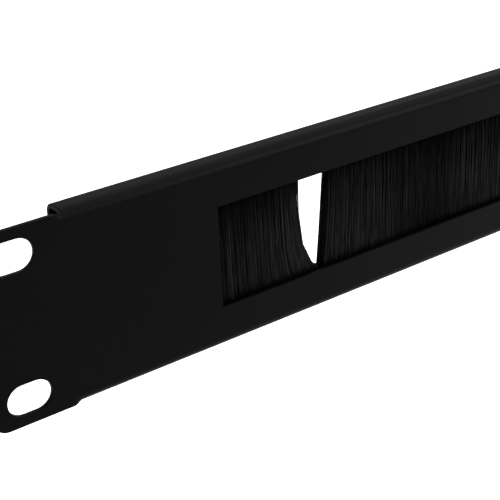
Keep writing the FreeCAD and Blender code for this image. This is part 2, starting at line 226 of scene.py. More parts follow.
class Nodes:
    """Short way to add and link the nodes of a material."""

    NOISE_RANGE = (0.3, 0.7)  # in which most of a noise's values lie

    def __init__(self, name):
        self.material = bpy.data.materials.new(name)
        self.material.use_nodes = True
        self.tree = self.material.node_tree
        self.shader = self.tree.nodes["Principled BSDF"]

    def add(self, kind, **inputs):
        """Adds a node; an input is a number, a colour or another node's output."""
        node = self.tree.nodes.new(kind)
        for key, value in inputs.items():
            self.set(node, key.replace("_", " "), value)
        return node

    def set(self, node, socket, value):
        """Sets or links one input of a node."""
        if isinstance(value, bpy.types.NodeSocket):
            self.tree.links.new(value, node.inputs[socket])
        else:
            node.inputs[socket].default_value = value

    def surface(self, **inputs):
        """Sets or links inputs of the material's shader."""
        for key, value in inputs.items():
            self.set(self.shader, key.replace("_", " "), value)

    def noise(self, waves, detail, scale=None):
        """Noise with this many waves a metre; a scale below 1 draws it out along that axis."""
        place = self.add("ShaderNodeTexCoord").outputs["Object"]
        if scale:
            place = self.add("ShaderNodeMapping", Vector=place, Scale=scale).outputs["Vector"]
        noise = self.add("ShaderNodeTexNoise", Vector=place, Scale=waves, Detail=detail)
        return noise.outputs["Fac"]

    def range(self, value, low, high, start=0.0, end=1.0):
        """Maps a value from start..end to low..high."""
        node = self.add("ShaderNodeMapRange", Value=value, From_Min=start, From_Max=end)
        node.inputs["To Min"].default_value = low
        node.inputs["To Max"].default_value = high
        return node.outputs["Result"]

    def vary(self, noise, low, high):
        """Maps the range that most of a noise lies in to low..high."""
        return self.range(noise, low, high, *self.NOISE_RANGE)

    def product(self, first, second):
        """Two values multiplied."""
        node = self.add("ShaderNodeMath")
        node.operation = "MULTIPLY"
        self.set(node, 0, first)
        self.set(node, 1, second)
        return node.outputs[0]

    def shade(self, tint, level):
        """A colour multiplied by a value."""
        node = self.add("ShaderNodeVectorMath")
        node.operation = "SCALE"
        node.inputs[0].default_value = tint
        self.set(node, "Scale", level)
        return node.outputs["Vector"]

    def bump(self, height, strength, distance, normal=None):
        """Bump from a height in 0..1, as high as distance."""
        node = self.add("ShaderNodeBump", Height=height, Strength=strength, Distance=distance)
        if normal is not None:
            self.set(node, "Normal", normal)
        return node.outputs["Normal"]


def powder_coat():
    """Matt black powder coat with a fine pebbled skin."""
    finish = chosen("finishes")
    nodes = Nodes("powder_coat")
    cloud = nodes.noise(waves=28.0, detail=3.0)
    pebble = nodes.noise(waves=1500.0, detail=2.0)
    grit = nodes.noise(waves=5200.0, detail=1.0)
    rough = finish.coat_roughness
    swing = 0.05
    skin = nodes.bump(pebble, strength=0.35, distance=0.02 * MM)
    nodes.surface(
        Base_Color=nodes.shade(finish.coat, nodes.vary(cloud, low=0.86, high=1.14)),
        Roughness=nodes.vary(pebble, low=rough - swing, high=rough + swing),
        Specular_IOR_Level=finish.coat_specular,
        Normal=nodes.bump(grit, strength=0.25, distance=0.006 * MM, normal=skin))
    return nodes.material


def channel_paint():
    """Thin dark paint over drawn steel strip."""
    nodes = Nodes("channel_paint")
    streak = nodes.noise(waves=900.0, detail=3.0, scale=(0.04, 1.0, 1.0))
    nodes.surface(
        Base_Color=nodes.shade(chosen("finishes").channel,
                               nodes.vary(streak, low=0.8, high=1.2)),
        Roughness=nodes.vary(streak, low=0.34, high=0.46),
        Specular_IOR_Level=0.2,
        Normal=nodes.bump(streak, strength=0.3, distance=0.01 * MM))
    return nodes.material


def drawn_wire():
    """Bright drawn steel wire with fine lengthwise lines."""
    nodes = Nodes("drawn_wire")
    line = nodes.noise(waves=4000.0, detail=2.0, scale=(0.01, 1.0, 1.0))
    nodes.surface(
        Base_Color=nodes.shade(chosen("finishes").wire, nodes.vary(line, low=0.85, high=1.1)),
        Roughness=nodes.vary(line, low=0.25, high=0.4),
        Metallic=1.0,
        Normal=nodes.bump(line, strength=0.2, distance=0.005 * MM))
    return nodes.material


# Heights between which painted shade darkens the filaments' tone and gloss: a painted shadow of
# the upper strip towards their tips, and painted shade in the gap above the lower strip at their
# roots.
PAINTED_TIP_SHADE_HEIGHTS = (-1.0 * MM, 12.0 * MM)
PAINTED_ROOT_SHADE_HEIGHTS = (-12.8 * MM, -11.0 * MM)


def filament_plastic():
    """Black plastic filaments, each a little lighter or darker, with painted shade towards both
    ends: a painted shadow of the upper strip at the tips and painted shade above the lower strip
    at the roots.
    """
    finish = chosen("finishes")
    nodes = Nodes("filament_plastic")
    tone = nodes.add("ShaderNodeAttribute")
    tone.attribute_name = "tone"
    along = nodes.noise(waves=1500.0, detail=2.0, scale=(1.0, 1.0, 0.12))
    patch = nodes.product(tone.outputs["Fac"], nodes.vary(along, low=0.7, high=1.3))
    place = nodes.add("ShaderNodeTexCoord").outputs["Object"]
    height = nodes.add("ShaderNodeSeparateXYZ", Vector=place).outputs["Z"]
    # Painted shade: colour and gloss darken upwards as the upper strip's painted shadow, and at
    # the roots as painted shade above the lower strip.
    tip = nodes.range(height, 1.0, finish.painted_tip_shade, *PAINTED_TIP_SHADE_HEIGHTS)
    root = nodes.range(height, finish.painted_root_shade, 1.0, *PAINTED_ROOT_SHADE_HEIGHTS)
    level = nodes.product(patch, nodes.product(tip, root))
    nodes.surface(
        Base_Color=nodes.shade(finish.filament, level),
        Specular_IOR_Level=nodes.product(level, finish.filament_specular),
        Roughness=nodes.vary(along, low=0.50, high=0.62))
    return nodes.material


def arc(centre, radius, start, end, steps):
    """Points of an arc from start to end, in degrees."""
    angles = np.radians(np.linspace(start, end, steps + 1))
    return [(centre[0] + radius * math.cos(a), centre[1] + radius * math.sin(a))
            for a in angles]


def circle(centre, radius, steps):
    """Points of a circle."""
    return arc(centre, radius, 0, 360, steps)[:-1]


def smooth_step(value):
    """0 to 1 with level ends."""
    value = min(max(value, 0.0), 1.0)
    return value * value * (3.0 - 2.0 * value)


def add_walls(bm, low, high):
    """Quads between two closed loops of corners."""
    for i in range(len(low)):
        after = (i + 1) % len(low)
        bm.faces.new((low[i], low[after], high[after], high[i]))


def finished_mesh(bm, name):
    """Mesh of a closed shape, with its faces turned outwards."""
    bmesh.ops.recalc_face_normals(bm, faces=bm.faces)
    mesh = bpy.data.meshes.new(name)
    bm.to_mesh(mesh)
    bm.free()
    return mesh


class Bending:
    """Folds the flat blank. A place on the blank is an x and a distance along the front skin,
    measured up or down from the panel's middle; depth is how far below that skin it lies."""

    BEND_STEPS = 12

    def __init__(self, sizes):
        self.front = PANEL_LOW.y
        self.back = PANEL_HIGH.y
        self.top = PANEL_HIGH.z
        self.radius = sizes.bend_radius
        self.fold = PANEL_HIGH.x - sizes.ear_length
        self.draw = sizes.ear_draw
        self.face = self.top - self.radius
        self.bend = self.radius * math.pi / 2
        self.shelf = self.back - self.front - 2 * self.radius
        self.rear = self.face + self.bend + self.shelf
        self.end = self.rear + self.bend + sizes.lip - self.radius

    def share(self, x):
        """How much of the bend the sheet follows here: all of it up to the folds' ends."""
        return smooth_step(1.0 - (abs(x) - self.fold) / self.draw)

    def place(self, x, along, depth):
        """Point of the folded sheet."""
        up = 1.0 if along >= 0 else -1.0
        past = abs(along) - self.face
        share = self.share(x)
        if past <= 0.0 or share == 0.0:
            y, z = self.front + depth, self.face + past
        elif share < 1.0 or past <= self.bend:
            radius = self.radius / share
            turn = past * share / self.radius
            y = self.front + radius - (radius - depth) * math.cos(turn)
            z = self.face + (radius - depth) * math.sin(turn)
        elif past <= self.bend + self.shelf:
            y, z = self.front + self.radius + past - self.bend, self.top - depth
        elif past <= 2 * self.bend + self.shelf:
            turn = (past - self.bend - self.shelf) / self.radius
            y = self.back - self.radius + (self.radius - depth) * math.sin(turn)
            z = self.face + (self.radius - depth) * math.cos(turn)
        else:
            y, z = self.back - depth, self.face - (past - 2 * self.bend - self.shelf)
        return x, y, up * z


class Sheet:
    """The folded sheet's two skins and its rounded cut edges, drawn on the flat blank."""

    EDGE_STEPS = 3
    MATCHING_DIGITS = 4  # of a millimetre, to which two places are the same

    def __init__(self, bending, sizes):
        self.bending = bending
        self.thickness = sizes.thickness
        self.front_edge = sizes.front_edge
        self.rear_edge = sizes.rear_edge
        self.points = []
        self.known = {}
        self.faces = []

    def corner(self, x, along, depth):
        """Index of the point at this place of the blank."""
        key = tuple(round(value / MM, self.MATCHING_DIGITS) + 0.0 for value in (x, along, depth))
        if key not in self.known:
            self.known[key] = len(self.points)
            self.points.append(self.bending.place(x, along, depth))
        return self.known[key]

    def inset(self, loop, distance):
        """The loop moved into the sheet, which lies on its left."""
        moved = []
        for before, here, after in zip(loop[-1:] + loop[:-1], loop, loop[1:] + loop[:1]):
            arrive = (Vector(here) - Vector(before)).normalized()
            leave = (Vector(after) - Vector(here)).normalized()
            side = Vector((-arrive.y - leave.y, arrive.x + leave.x))
            move = side * (distance / (1.0 + arrive.dot(leave)))
            moved.append((here[0] + move.x, here[1] + move.y))
        return moved

    def quarter(self, radius):
        """(inset, depth) pairs of one rounded edge, from the skin to the wall."""
        turns = np.radians(np.linspace(0.0, 90.0, self.EDGE_STEPS + 1))
        return [(radius * (1 - math.sin(turn)), radius * (1 - math.cos(turn)))
                for turn in turns]

    def rim(self, loop):
        """Cut edge along a loop, rounded towards both skins."""
        outer = self.quarter(self.front_edge)
        inner = [(inset, self.thickness - depth)
                 for inset, depth in reversed(self.quarter(self.rear_edge))]
        rings = []
        for inset, depth in outer + inner:
            rings.append([self.corner(x, along, depth) for x, along in self.inset(loop, inset)])
        self.bridge(rings)

    def bridge(self, rings):
        """Quads between closed rings of corners."""
        for low, high in zip(rings, rings[1:]):
            for i in range(len(low)):
                after = (i + 1) % len(low)
                self.faces.append((low[i], low[after], high[after], high[i]))

    def fill(self, outline, holes, depth):
        """Flat part of one skin."""
        loops = [outline, *holes]
        flat = [self.corner(x, along, depth) for loop in loops for x, along in loop]
        points = [[Vector((x, along, 0.0)) for x, along in loop] for loop in loops]
        for triangle in tessellate_polygon(points):
            self.faces.append(tuple(flat[i] for i in triangle))

    def grid(self, columns, rows, depth):
        """Quads of one skin between columns and rows of the blank."""
        for left, right in zip(columns, columns[1:]):
            for low, high in zip(rows, rows[1:]):
                corners = ((left, low), (right, low), (right, high), (left, high))
                self.faces.append(tuple(self.corner(x, along, depth) for x, along in corners))

    def dish(self, centre, rings, steps):
        """Walls and end of a round dish or stud; rings are (radius, depth) pairs."""
        loops = [[self.corner(x, along, depth) for x, along in circle(centre, radius, steps)]
                 for radius, depth in rings]
        self.bridge(loops)
        self.faces.append(tuple(loops[-1]))

    def mesh(self, name):
        """Closed mesh of everything drawn."""
        bm = bmesh.new()
        corners = [bm.verts.new(point) for point in self.points]
        for face in self.faces:
            bm.faces.new([corners[i] for i in face])
        open_edges = sum(1 for edge in bm.edges if not edge.is_manifold)
        if open_edges:
            raise RuntimeError("%s has %d open edges" % (name, open_edges))
        mesh = finished_mesh(bm, name)
        mesh.shade_smooth()
        return mesh


def keep_flats(piece):
    """Weighted normals, so that flats stay flat beside the rounded edges."""
    largest_faces_only = 100
    normals = piece.modifiers.new("flat_faces", "WEIGHTED_NORMAL")
    normals.weight = largest_faces_only


class BRUSHPANEL_OT_folded_sheet(bpy.types.Operator):
    """Cuts the flat blank, folds it and gives it its powder coat"""

    bl_idname = "brushpanel.folded_sheet"
    bl_label = "Folded Sheet"

    SLOT_STEPS = 16
    CORNER_STEPS = 8
    DRAW_STEPS = 8
    EDGE_ROWS = 5
    MARK_STEPS = 20
    MARK_EDGE = 0.2 * MM  # radius of a mark's rim and of the edge of its stud's end
    MARK_CHAMFER = 0.1 * MM  # round a mark's bottom
    STUD_FOOT = 0.15 * MM  # chamfer where a stud leaves the lip

    def slot(self, x, z):
        """Outline of one rack slot."""
        radius = RACK_SLOTS["hole_r_mm"] * MM
        reach = RACK_SLOTS["slot_length_mm"] * MM / 2 - radius
        right = arc((x + reach, z), radius, -90, 90, self.SLOT_STEPS)
        left = arc((x - reach, z), radius, 90, 270, self.SLOT_STEPS)
        return right + left

    def quadrant(self, sizes, bending):
        """Upper right quarter of the blank's outline: the ear's corner, then the rest of it
        up to the lip."""
        top = sizes.ear_height / 2
        r = sizes.ear_corner
        ear = arc((PANEL_HIGH.x - r, top - r), r, 0, 90, self.CORNER_STEPS)
        drawn = [(x, top) for x in self.columns(bending) + [bending.fold]]
        rows = self.upper_rows(sizes, bending) + [bending.end]
        return ear, drawn + [(bending.fold, along) for along in rows]

    def around(self, right):
        """Closed loop from its upper right quarter."""
        upper = right + [(-x, along) for x, along in reversed(right)]
        return upper + [(-x, -along) for x, along in upper]

    def columns(self, bending):
        """Places along an ear's drawn edge, from the flat ear to the fold."""
        shares = np.linspace(1.0, 0.0, self.DRAW_STEPS + 1)[:-1]
        return [bending.fold + bending.draw * share for share in shares]

    def lower_rows(self, sizes, bending, edge):
        """Rows from the bend line to the ears' edges."""
        end = sizes.ear_height / 2 - edge
        return list(np.linspace(bending.face, end, self.EDGE_ROWS + 1))

    def upper_rows(self, sizes, bending):
        """Rows from the ears' edges over the fold to the start of its lip."""
        start = sizes.ear_height / 2 + sizes.front_edge
        steps = bending.BEND_STEPS
        first = np.linspace(start, bending.face + bending.bend, steps - self.EDGE_ROWS + 1)
        second = np.linspace(bending.rear, bending.rear + bending.bend, steps + 1)
        return list(first) + list(second)

    def openings(self, sizes, bending):
        """Outlines of the window and the rack slots, with the sheet on their left."""
        x = bending.fold - sizes.window_margin
        z = sizes.window_height / 2
        column = PANEL_HIGH.x - sizes.slot_end
        row = RACK_SLOTS["spacing_y_mm"] * MM / 2
        slots = [self.slot(side * column, up * row)[::-1] for side in (-1, 1) for up in (-1, 1)]
        return [[(x, z), (x, -z), (-x, -z), (-x, z)]] + slots

    def skin(self, sheet, sizes, blank, ear, depth, edge):
        """Draws one skin but for the lower lip, from the face over both folds."""
        bending = sheet.bending
        fold = bending.fold - edge
        columns = self.columns(bending)
        lower = self.lower_rows(sizes, bending, edge)
        upper = self.upper_rows(sizes, bending)
        face = sheet.inset(blank, edge)[:len(ear) + 1]
        face += [(columns[0], along) for along in reversed(lower[:-1])]
        face += [(x, bending.face) for x in columns[1:] + [fold]]
        holes = [sheet.inset(opening, edge) for opening in self.openings(sizes, bending)]
        sheet.fill(self.around(face), holes, depth)
        for up in (-1, 1):
            rows = [up * along for along in lower + upper]
            sheet.grid([-fold, fold], rows, depth)
            for side in (-1, 1):
                sheet.grid([side * x for x in columns + [fold]], rows[:len(lower)], depth)
        sheet.grid([-fold, fold], [upper[-1], bending.end - edge], depth)

    def lower_lip(self, sheet, sizes, depth, edge, rings):
        """Draws the lower lip on one skin with a dish or a stud at every stake."""
        bending = sheet.bending
        fold = bending.fold - edge
        start = bending.rear + bending.bend
        end = bending.end - edge
        level = bending.face + PANEL_LOW.z + sizes.thickness + sizes.stake_level
        first = CHANNEL_LOW.x + sizes.stake_inset
        stakes = [(x, -start - level) for x in np.linspace(first, -first, sizes.stake_count)]
        circles = [circle(centre, rings[0][0], self.MARK_STEPS) for centre in stakes]
        outline = [(-fold, -end), (fold, -end), (fold, -start), (-fold, -start)]
        sheet.fill(outline, circles, depth)
        for centre in stakes:
            sheet.dish(centre, rings, self.MARK_STEPS)

    def stake_rings(self, sheet, sizes):
        """(radius, depth) pairs of a punch mark and of the stud that it raises behind."""
        outside, inside = sizes.mark_radius, sizes.stake_radius
        bottom = sizes.stake_reach
        skin = sizes.thickness
        edge = sheet.quarter(self.MARK_EDGE)
        mark = [(outside + inset, depth) for inset, depth in edge]
        mark += [(outside, bottom - self.MARK_CHAMFER), (outside - self.MARK_CHAMFER, bottom)]
        stud = [(inside + self.STUD_FOOT, skin), (inside, skin + self.STUD_FOOT)]
        stud += [(inside - inset, skin + bottom - depth) for inset, depth in reversed(edge)]
        return mark, stud

    def execute(self, context):
        sizes = chosen("sheet")
        bending = Bending(sizes)
        sheet = Sheet(bending, sizes)
        ear, rest = self.quadrant(sizes, bending)
        blank = self.around(ear + rest)
        for loop in [blank] + self.openings(sizes, bending):
            sheet.rim(loop)
        mark, stud = self.stake_rings(sheet, sizes)
        for depth, edge, rings in ((0.0, sizes.front_edge, mark),
                                   (sizes.thickness, sizes.rear_edge, stud)):
            self.skin(sheet, sizes, blank, ear, depth, edge)
            self.lower_lip(sheet, sizes, depth, edge, rings)
        piece = add_piece("folded_sheet", sheet.mesh("folded_sheet"), powder_coat())
        keep_flats(piece)
        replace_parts(piece, "panel")
        return {"FINISHED"}


def rounded_path(corners, radii, steps):
    """Path through the corners with each inner one rounded; gives places and left-hand
    normals."""
    places = [corners[0]]
    for before, here, after, radius in zip(corners, corners[1:], corners[2:], radii):
        back = (before - here).normalized()
        on = (after - here).normalized()
        half = back.angle(on) / 2
        reach = radius / math.tan(half)
        centre = here + (back + on).normalized() * (radius / math.sin(half))
        start = here + back * reach - centre
        finish = here + on * reach - centre
        turn = start.angle_signed(finish)
        for i in range(steps + 1):
            swing = Matrix.Rotation(-turn * i / steps, 2)
            places.append(centre + swing @ start)
    places.append(corners[-1])
    normals = []
    for i in range(len(places)):
        run = places[min(i + 1, len(places) - 1)] - places[max(i - 1, 0)]
        normals.append(Vector((-run.y, run.x)).normalized())
    return places, normals


class BRUSHPANEL_OT_brush_channel(bpy.types.Operator):
    """Folds the channel that is crimped on the filaments"""

    bl_idname = "brushpanel.brush_channel"
    bl_label = "Brush Channel"

    BEND_STEPS = 5
    NECK_RADIUS = 0.4 * MM
    KNEE_INSIDE_RADIUS = 0.1 * MM
    EDGE_WIDTH = 0.12 * MM
    EDGE_SEGMENTS = 2
    EDGE_ANGLE = math.radians(35.0)

    def section(self, sizes):
        """Closed outline of the channel: its outside from the rear mouth round to the front
        one, then its inside back."""
        base = CHANNEL_HIGH.y - ROW_Y
        crimp = sizes.mouth_width / 2 + sizes.wall
        knee = CHANNEL_LOW.z + sizes.base_height
        shoulder = knee + sizes.taper_height
        half = [Vector((crimp, CHANNEL_HIGH.z)), Vector((crimp, shoulder)), Vector((base, knee)),
                Vector((base, CHANNEL_LOW.z))]
        corners = half + [Vector((-p.x, p.y)) for p in reversed(half)]
        bends = [self.NECK_RADIUS, sizes.wall + self.KNEE_INSIDE_RADIUS, sizes.channel_corner]
        places, normals = rounded_path(corners, bends + bends[::-1], self.BEND_STEPS)
        outer = [Vector((p.x + ROW_Y, p.y)) for p in places]
        inner = [p - n * sizes.wall for p, n in zip(outer, normals)]
        return outer + inner[::-1]

    def soften_edges(self, piece):
        """Rounds the cut edges and keeps the flats flat."""
        bevel = piece.modifiers.new("softened_edges", "BEVEL")
        bevel.width = self.EDGE_WIDTH
        bevel.segments = self.EDGE_SEGMENTS
        bevel.limit_method = "ANGLE"
        bevel.angle_limit = self.EDGE_ANGLE
        keep_flats(piece)

    def execute(self, context):
        section = self.section(chosen("brush"))
        bm = bmesh.new()
        left, right = [[bm.verts.new((x, p.x, p.y)) for p in section]
                       for x in (CHANNEL_LOW.x, CHANNEL_HIGH.x)]
        add_walls(bm, left, right)
        bm.faces.new(left[::-1])
        bm.faces.new(right)
        mesh = finished_mesh(bm, "crimped_channel")
        mesh.shade_smooth()
        piece = add_piece("crimped_channel", mesh, channel_paint())
        self.soften_edges(piece)
        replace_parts(piece, "brush_channel")
        return {"FINISHED"}


class BRUSHPANEL_OT_core_wire(bpy.types.Operator):
    """Gives the core wire its drawn steel finish"""

    bl_idname = "brushpanel.core_wire"
    bl_label = "Core Wire"

    def execute(self, context):
        wire = frame["nodes"]["core_wire"]
        wire.data.materials.clear()
        wire.data.materials.append(drawn_wire())
        return {"FINISHED"}


SIDES = 3  # of a filament's tube
GOLDEN_ANGLE = 2.399  # radians from one filament's turn to the next one's
GOLDEN_SHARE = 0.618034  # of the row's depth from one filament to the next


def tubes(paths, radii):
    """Three-sided tubes along paths (filament, ring, xyz): corners and faces as arrays."""
    count, rings = paths.shape[:2]
    run = np.gradient(paths, axis=1)
    run /= np.linalg.norm(run, axis=2, keepdims=True)
    across = np.array([1.0, 0.0, 0.0]) - run[..., :1] * run
    across /= np.linalg.norm(across, axis=2, keepdims=True)
    other = np.cross(run, across)
    turn = (np.arange(count)[:, None] * GOLDEN_ANGLE +
            np.arange(SIDES) * 2 * math.pi / SIDES)
    sides = (np.cos(turn)[:, None, :, None] * across[:, :, None, :] +
             np.sin(turn)[:, None, :, None] * other[:, :, None, :])
    corners = paths[:, :, None, :] + radii[:, None, None, None] * sides
    index = np.arange(count * rings * SIDES).reshape(count, rings, SIDES)
    after = np.roll(index, -1, axis=2)
    walls = np.stack([index[:, :-1], after[:, :-1], after[:, 1:], index[:, 1:]], axis=-1)
    caps = np.stack([index[:, 0, ::-1], index[:, -1]], axis=1)
    return corners.reshape(-1, 3), walls.reshape(count, -1, 4), caps


def tone_mesh(mesh, tones):
    """Gives each corner of a mesh its tone."""
    tone = mesh.attributes.new("tone", "FLOAT", "POINT")
    tone.data.foreach_set("value", tones.astype(np.float32))


# The map gives each filament a cell of its own. In it the rings stand above each other and
# the sides next to each other, clear of the cell's edges. Sizes are shares of a cell.
CELLS_ACROSS = 4  # columns for each row
CELL_LEFT, CELL_SIDE = 0.2, 0.3
CELL_FOOT, CELL_RISE = 0.1, 0.8


def strand_mesh(name, paths, radii, tones):
    """Mesh of filaments with a tone on each and a map."""
    count, rings = paths.shape[:2]
    corners, walls, caps = tubes(paths, radii)
    quads = walls.reshape(-1)
    ends = caps.reshape(-1)
    loops = np.concatenate([quads, ends])
    quad_starts = np.arange(0, len(quads), 4)
    end_starts = len(quads) + np.arange(0, len(ends), 3)
    starts = np.concatenate([quad_starts, end_starts])
    mesh = bpy.data.meshes.new(name)
    mesh.vertices.add(len(corners))
    mesh.vertices.foreach_set("co", corners.astype(np.float32).ravel())
    mesh.loops.add(len(loops))
    mesh.loops.foreach_set("vertex_index", loops.astype(np.int32))
    mesh.polygons.add(len(starts))
    mesh.polygons.foreach_set("loop_start", starts.astype(np.int32))
    mesh.update(calc_edges=True)
    mesh.validate()
    tone_mesh(mesh, np.repeat(tones, rings * SIDES))

    columns = math.ceil(math.sqrt(count * CELLS_ACROSS))
    rows = math.ceil(count / columns)
    filament = loops // (rings * SIDES)
    ring = loops // SIDES % rings
    side = loops % SIDES
    u = (filament % columns + CELL_LEFT + CELL_SIDE * side) / columns
    v = (filament // columns + CELL_FOOT + CELL_RISE * ring / (rings - 1)) / rows
    layer = mesh.uv_layers.new(name="OFBake")
    layer.uv.foreach_set("vector", np.stack([u, v], axis=1).astype(np.float32).ravel())
    mesh.shade_smooth()
    return mesh


# (height, length in pitches) of the waves that make up a wandering value, and how far and
# over how many pitches their places drift.
WAVES = ((0.6, 1.0), (0.4, 0.43))
DRIFT, DRIFT_PITCHES = 2.0, 3.7


def smooth_wave(places, pitch, draws):
    """A wandering value in about -1..1 along the row, the same for places close together."""
    total = np.zeros(len(places))
    for share, stretch in WAVES:
        start, drift = draws.random(2) * 2 * math.pi
        total += share * np.sin(2 * math.pi * places / (pitch * stretch) + start +
                                DRIFT * np.sin(places / (pitch * DRIFT_PITCHES) + drift))
    return total


WILD_SHARE, WILD_STRAY = 0.03, 4.0  # filaments that stray further, and how much further
STRAY_BOW = 1.3  # power of the height with which a stray grows
SAG = 0.14 * MM  # how far single filaments bow aside halfway up
ROOT_DEPTH = 0.6 * MM  # how far the drawn filaments reach down into the mouth
RING_SHARES = (0.14, 0.32, 0.62, 1.0)  # of the height above the mouth
CORE_SHARE = 0.5  # part of the row's depth that core filaments fill


def filament_paths(sizes, low, high, foot, side, draws):
    """Paths of the filaments that are rooted between low and high along the row."""
    count = round((high - low) / MM / 10 * sizes.density)
    root_x = low + (high - low) * (np.arange(count) + draws.random(count)) / count
    # From -1 in front to 1 behind. Golden steps are even, so no slit is left to see through.
    depth = 2.0 * ((np.arange(count) * GOLDEN_SHARE) % 1.0) - 1.0
    depth = np.sign(depth) * np.abs(depth) ** sizes.crowding
    loose = np.abs(depth) ** 3
    widths = np.array([sizes.mouth_width, *[sizes.flare] * 4, sizes.tip_thickness])
    half_widths = widths / 2 - sizes.core_filament / 2
    farthest = sizes.lean_left if side < 0 else sizes.lean_right
    bend = sizes.bow_left if side < 0 else sizes.bow_right
    lean = side * farthest * np.exp(-np.abs(root_x - foot) / sizes.spread)
    stray = draws.normal(0.0, sizes.stray, count) * loose
    wild = draws.random(count) < WILD_SHARE
    stray = np.where(wild, stray * WILD_STRAY, stray)
    stray += sizes.clump * smooth_wave(root_x, sizes.clump_pitch, draws)
    reach = LEFT_HIGH.z - CHANNEL_HIGH.z - sizes.uneven * draws.random(count) ** 2
    # A filament that leans stands less high.
    rise = np.sqrt(np.maximum(reach ** 2 - lean ** 2, 0.0))
    sag = draws.normal(0.0, SAG, (count, 2)) * loose[:, None]
    height = RIGHT_HIGH.z - CHANNEL_HIGH.z
    rings = np.array([-ROOT_DEPTH / height, sizes.flare_height / height, *RING_SHARES])
    above = np.maximum(rings, 0.0)
    belly = np.sin(math.pi * above)
    x = (root_x[:, None] + lean[:, None] * (1.0 - (1.0 - above) ** bend) +
         stray[:, None] * above ** STRAY_BOW + sag[:, :1] * belly)
    y = ROW_Y + depth[:, None] * half_widths + sag[:, 1:] * belly
    z = CHANNEL_HIGH.z + rise[:, None] * rings
    core = np.abs(depth) < CORE_SHARE
    radii = np.where(core, sizes.core_filament, sizes.filament) / 2
    return np.stack([x, y, z], axis=2), radii


# Tones multiply the filaments' colour and gloss. Dark tones differ at random; a few filaments get
# painted glints, tones painted brighter as if they caught the light.
DARK_TONES = (0.6, 1.15)
PAINTED_GLINT_SHARE = 0.07
PAINTED_GLINT_GAIN = (1.3, 1.9)  # times its dark tone
ROOT_TONE = 0.8


def filament_tones(count, draws):
    """Tone of each filament: most dark, a few painted brighter as painted glints."""
    tones = draws.uniform(*DARK_TONES, count)
    # Painted glints: a few filaments painted brighter as if catching the light.
    painted_glint = draws.random(count) < PAINTED_GLINT_SHARE
    return np.where(painted_glint, tones * draws.uniform(*PAINTED_GLINT_GAIN, count), tones)


class BRUSHPANEL_OT_filaments(bpy.types.Operator):
    """Sets the filaments in the channel and parts them"""

    bl_idname = "brushpanel.filaments"
    bl_label = "Filaments"

    RIGHT_STRETCHES = 3
    BORE_STEPS = 20
    GAP = 0.03 * MM  # to the channel and to the core wire
    KNEE_DROP = 0.3 * MM  # below the channel's own knee, clear of its shoulder
    TOP_DROP = 0.1 * MM  # below the channel's mouth

    def root_block(self, name, sizes, low, high):
        """Filaments packed in the channel round the core wire."""
        base = CHANNEL_HIGH.y - ROW_Y - sizes.wall - self.GAP
        crimp = sizes.mouth_width / 2 - self.GAP
        bottom = CHANNEL_LOW.z + sizes.wall + self.GAP
        knee = CHANNEL_LOW.z + sizes.base_height - self.KNEE_DROP
        shoulder = knee + sizes.taper_height
        bevel = sizes.channel_corner - sizes.wall
        rear = [(base - bevel, bottom), (base, bottom + bevel), (base, knee), (crimp, shoulder),
                (crimp, CHANNEL_HIGH.z - self.TOP_DROP)]
        outline = rear + [(-y, z) for y, z in reversed(rear)]
        wire_z = (WIRE_LOW.z + WIRE_HIGH.z) / 2
        wire_radius = (WIRE_HIGH.z - WIRE_LOW.z) / 2
        loops = [outline, circle((0.0, wire_z), wire_radius + self.GAP, self.BORE_STEPS)]
        bm = bmesh.new()
        ends = [[[bm.verts.new((x, ROW_Y + y, z)) for y, z in loop] for loop in loops]
                for x in (low, high)]
        for near, far in zip(*ends):
            add_walls(bm, near, far)
        flat = [[Vector((y, z, 0.0)) for y, z in loop] for loop in loops]
        for outer, bore in ends:
            joined = outer + bore
            for triangle in tessellate_polygon(flat):
                bm.faces.new([joined[i] for i in triangle])
        mesh = finished_mesh(bm, name)
        tone_mesh(mesh, np.full(len(mesh.vertices), ROOT_TONE))
        return mesh

    def execute(self, context):
        sizes = chosen("brush")
        draws = np.random.default_rng(sizes.seed)
        material = filament_plastic()
        foot = (LEFT_HIGH.x + RIGHT_LOW.x) / 2
        margin = sizes.core_filament / 2
        left_end, right_end = CHANNEL_LOW.x + margin, CHANNEL_HIGH.x - margin
        stretches = [("filaments_left", "bristles_left", left_end, foot - margin, -1)]
        cuts = np.linspace(foot + margin, right_end, self.RIGHT_STRETCHES + 1)
        for i, (low, high) in enumerate(zip(cuts, cuts[1:]), start=1):
            stretches.append(("filaments_right_%d" % i, "bristles_right", low, high, 1))
        for name, node, low, high, side in stretches:
            paths, radii = filament_paths(sizes, low, high, foot, side, draws)
            tones = filament_tones(len(paths), draws)
            mesh = strand_mesh(name, paths, radii, tones)
            root_name = name + "_root"
            root_mesh = self.root_block(root_name, sizes, low, high)
            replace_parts(add_piece(name, mesh, material), node)
            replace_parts(add_piece(root_name, root_mesh, material), node)
        return {"FINISHED"}


def seen_directly(tree):
    """1 for rays from the camera, off a gloss or through glass."""
    path = tree.nodes.new("ShaderNodeLightPath")
    total = path.outputs["Is Camera Ray"]
    for name in ("Is Glossy Ray", "Is Transmission Ray"):
        step = tree.nodes.new("ShaderNodeMath")
        step.operation = "MAXIMUM"
        tree.links.new(total, step.inputs[0])
        tree.links.new(path.outputs[name], step.inputs[1])
        total = step.outputs[0]
    return total


